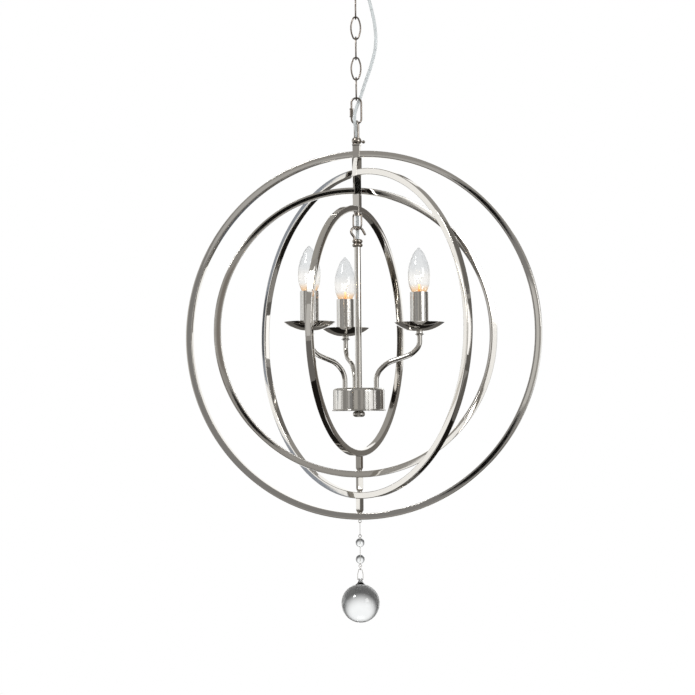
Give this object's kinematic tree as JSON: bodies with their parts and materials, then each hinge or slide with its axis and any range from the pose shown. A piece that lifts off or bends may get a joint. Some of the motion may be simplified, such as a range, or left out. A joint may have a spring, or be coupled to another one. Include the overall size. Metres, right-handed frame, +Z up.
{
  "type": "orb chandelier",
  "caption": "Chandelier of nested square-bar hoops turning on a stem round a small candle cluster, with a glass ball drop, on a chain and canopy.",
  "frame": {"origin": "centre of the canopy's rim, on the ceiling", "axes": "+Z up towards the ceiling, +Y away from the viewer, +X to the viewer's right"},
  "size_m": [0.56, 0.4106, 1.0872],
  "materials": {
    "polished_nickel": "polished nickel plate on steel and brass",
    "zinc_steel": "bright zinc plated steel",
    "fine_wire": "nickel plated drawn wire",
    "clear_cord": "clear PVC insulation over twisted copper",
    "clear_glass": "polished clear glass",
    "socket_plastic": "moulded phenolic",
    "lamp_brass": "rolled lamp cap"
  },
  "bodies": {
    "ceiling_fitting": {"mounting_strap": "zinc_steel", "canopy": "polished_nickel", "canopy_nipple": "zinc_steel", "nipple_nuts": "zinc_steel", "canopy_loop": "polished_nickel", "canopy_ring": "polished_nickel", "chain_cord": "clear_cord"},
    "link_1": {"chain_link_1": "polished_nickel"},
    "link_2": {"chain_link_2": "polished_nickel"},
    "link_3": {"chain_link_3": "polished_nickel"},
    "link_4": {"chain_link_4": "polished_nickel"},
    "link_5": {"chain_link_5": "polished_nickel"},
    "link_6": {"chain_link_6": "polished_nickel"},
    "quick_link": {"quick_link": "polished_nickel"},
    "quick_nut": {"quick_link_nut": "polished_nickel"},
    "spindle": {"fixture_loop": "polished_nickel", "thumb_screw": "polished_nickel", "stem": "polished_nickel", "collar_plate": "polished_nickel", "lower_loop": "polished_nickel", "hook_cord": "clear_cord"},
    "hoop_1": {"hoop_1": "polished_nickel", "bottom_rod": "polished_nickel", "spacers": "polished_nickel", "stop_rings": "polished_nickel", "eye_screw": "fine_wire"},
    "hoop_2": {"hoop_2": "polished_nickel"},
    "hoop_3": {"hoop_3": "polished_nickel"},
    "hoop_4": {"hoop_4": "polished_nickel"},
    "drop_link": {"drop_link": "fine_wire"},
    "bead_strand": {"bead_pin": "fine_wire", "glass_bead_1": "clear_glass", "glass_bead_2": "clear_glass"},
    "jump_ring": {"jump_ring": "fine_wire"},
    "bail": {"bail": "fine_wire"},
    "ball": {"glass_ball": "clear_glass"},
    "cluster": {"hook": "polished_nickel", "centre_tube": "polished_nickel", "body_can": "polished_nickel", "can_cover": "polished_nickel", "finial": "polished_nickel", "arm_nuts": "zinc_steel", "knuckles": "polished_nickel", "candle_cups": "polished_nickel", "lamp_sockets": "socket_plastic", "arm_1": "polished_nickel", "drip_pan_1": "polished_nickel", "candle_sleeve_1": "polished_nickel", "arm_2": "polished_nickel", "drip_pan_2": "polished_nickel", "candle_sleeve_2": "polished_nickel", "arm_3": "polished_nickel", "drip_pan_3": "polished_nickel", "candle_sleeve_3": "polished_nickel"},
    "lamp_1": {"lamp_base_1": "lamp_brass", "lamp_glass_1": "clear_glass"},
    "lamp_2": {"lamp_base_2": "lamp_brass", "lamp_glass_2": "clear_glass"},
    "lamp_3": {"lamp_base_3": "lamp_brass", "lamp_glass_3": "clear_glass"}
  },
  "joints": [
    {"name": "link_1_swing", "type": "hinge", "parent": "ceiling_fitting", "child": "link_1", "pos_m": [0, 0, -0.071], "axis": [0, 1, 0], "range_deg": [-15, 15], "deforming": ["chain_cord"]},
    {"name": "link_2_swing", "type": "hinge", "parent": "link_1", "child": "link_2", "pos_m": [0, 0, -0.103], "axis": [1, 0, 0], "range_deg": [-15, 15]},
    {"name": "link_3_swing", "type": "hinge", "parent": "link_2", "child": "link_3", "pos_m": [0, 0, -0.1355], "axis": [0, 1, 0], "range_deg": [-15, 15]},
    {"name": "link_4_swing", "type": "hinge", "parent": "link_3", "child": "link_4", "pos_m": [0, 0, -0.168], "axis": [1, 0, 0], "range_deg": [-15, 15]},
    {"name": "link_5_swing", "type": "hinge", "parent": "link_4", "child": "link_5", "pos_m": [0, 0, -0.2005], "axis": [0, 1, 0], "range_deg": [-15, 15]},
    {"name": "link_6_swing", "type": "hinge", "parent": "link_5", "child": "link_6", "pos_m": [0, 0, -0.233], "axis": [1, 0, 0], "range_deg": [-15, 15]},
    {"name": "quick_link_swing", "type": "hinge", "parent": "link_6", "child": "quick_link", "pos_m": [0, 0, -0.2655], "axis": [0, 1, 0], "range_deg": [-15, 15]},
    {"name": "quick_nut_travel", "type": "slide", "parent": "quick_link", "child": "quick_nut", "axis": [0, 0, 1], "range_m": [0, 0.009]},
    {"name": "spindle_swing", "type": "hinge", "parent": "quick_link", "child": "spindle", "pos_m": [0, 0, -0.3034], "axis": [1, 0, 0], "range_deg": [-15, 15]},
    {"name": "hoop_1_turn", "type": "hinge", "parent": "spindle", "child": "hoop_1", "pos_m": [0, 0, -0.349], "axis": [0, 0, 1], "continuous": true},
    {"name": "hoop_2_turn", "type": "hinge", "parent": "spindle", "child": "hoop_2", "pos_m": [0, 0, -0.3781], "axis": [0, 0, 1], "continuous": true},
    {"name": "hoop_3_turn", "type": "hinge", "parent": "spindle", "child": "hoop_3", "pos_m": [0, 0, -0.4072], "axis": [0, 0, 1], "continuous": true},
    {"name": "hoop_4_turn", "type": "hinge", "parent": "spindle", "child": "hoop_4", "pos_m": [0, 0, -0.4363], "axis": [0, 0, 1], "continuous": true},
    {"name": "drop_link_swing", "type": "hinge", "parent": "hoop_1", "child": "drop_link", "pos_m": [0, 0, -0.93245], "axis": [1, 0, 0], "range_deg": [-20, 20]},
    {"name": "bead_strand_swing", "type": "hinge", "parent": "drop_link", "child": "bead_strand", "pos_m": [0, 0, -0.9522], "axis": [0, 1, 0], "range_deg": [-20, 20]},
    {"name": "jump_ring_swing", "type": "hinge", "parent": "bead_strand", "child": "jump_ring", "pos_m": [0, 0, -1.0015], "axis": [1, 0, 0], "range_deg": [-20, 20]},
    {"name": "bail_swing", "type": "hinge", "parent": "jump_ring", "child": "bail", "pos_m": [0, 0, -1.0057], "axis": [0, 1, 0], "range_deg": [-20, 20]},
    {"name": "ball_swing", "type": "hinge", "parent": "bail", "child": "ball", "pos_m": [0, 0, -1.0207], "axis": [1, 0, 0], "range_deg": [-20, 20]},
    {"name": "cluster_swing", "type": "hinge", "parent": "spindle", "child": "cluster", "pos_m": [0, 0, -0.4719], "axis": [0.7986, -0.6018, 0], "range_deg": [-10, 10], "deforming": ["hook_cord"]},
    {"name": "lamp_1_turn", "type": "hinge", "parent": "cluster", "child": "lamp_1", "pos_m": [0.09511, -0.0309, -0.6009], "axis": [0, 0, 1], "range_deg": [0, 360]},
    {"name": "lamp_2_turn", "type": "hinge", "parent": "cluster", "child": "lamp_2", "pos_m": [-0.07431, -0.06691, -0.6009], "axis": [0, 0, 1], "range_deg": [0, 360]},
    {"name": "lamp_3_turn", "type": "hinge", "parent": "cluster", "child": "lamp_3", "pos_m": [-0.02079, 0.09781, -0.6009], "axis": [0, 0, 1], "range_deg": [0, 360]}
  ]
}
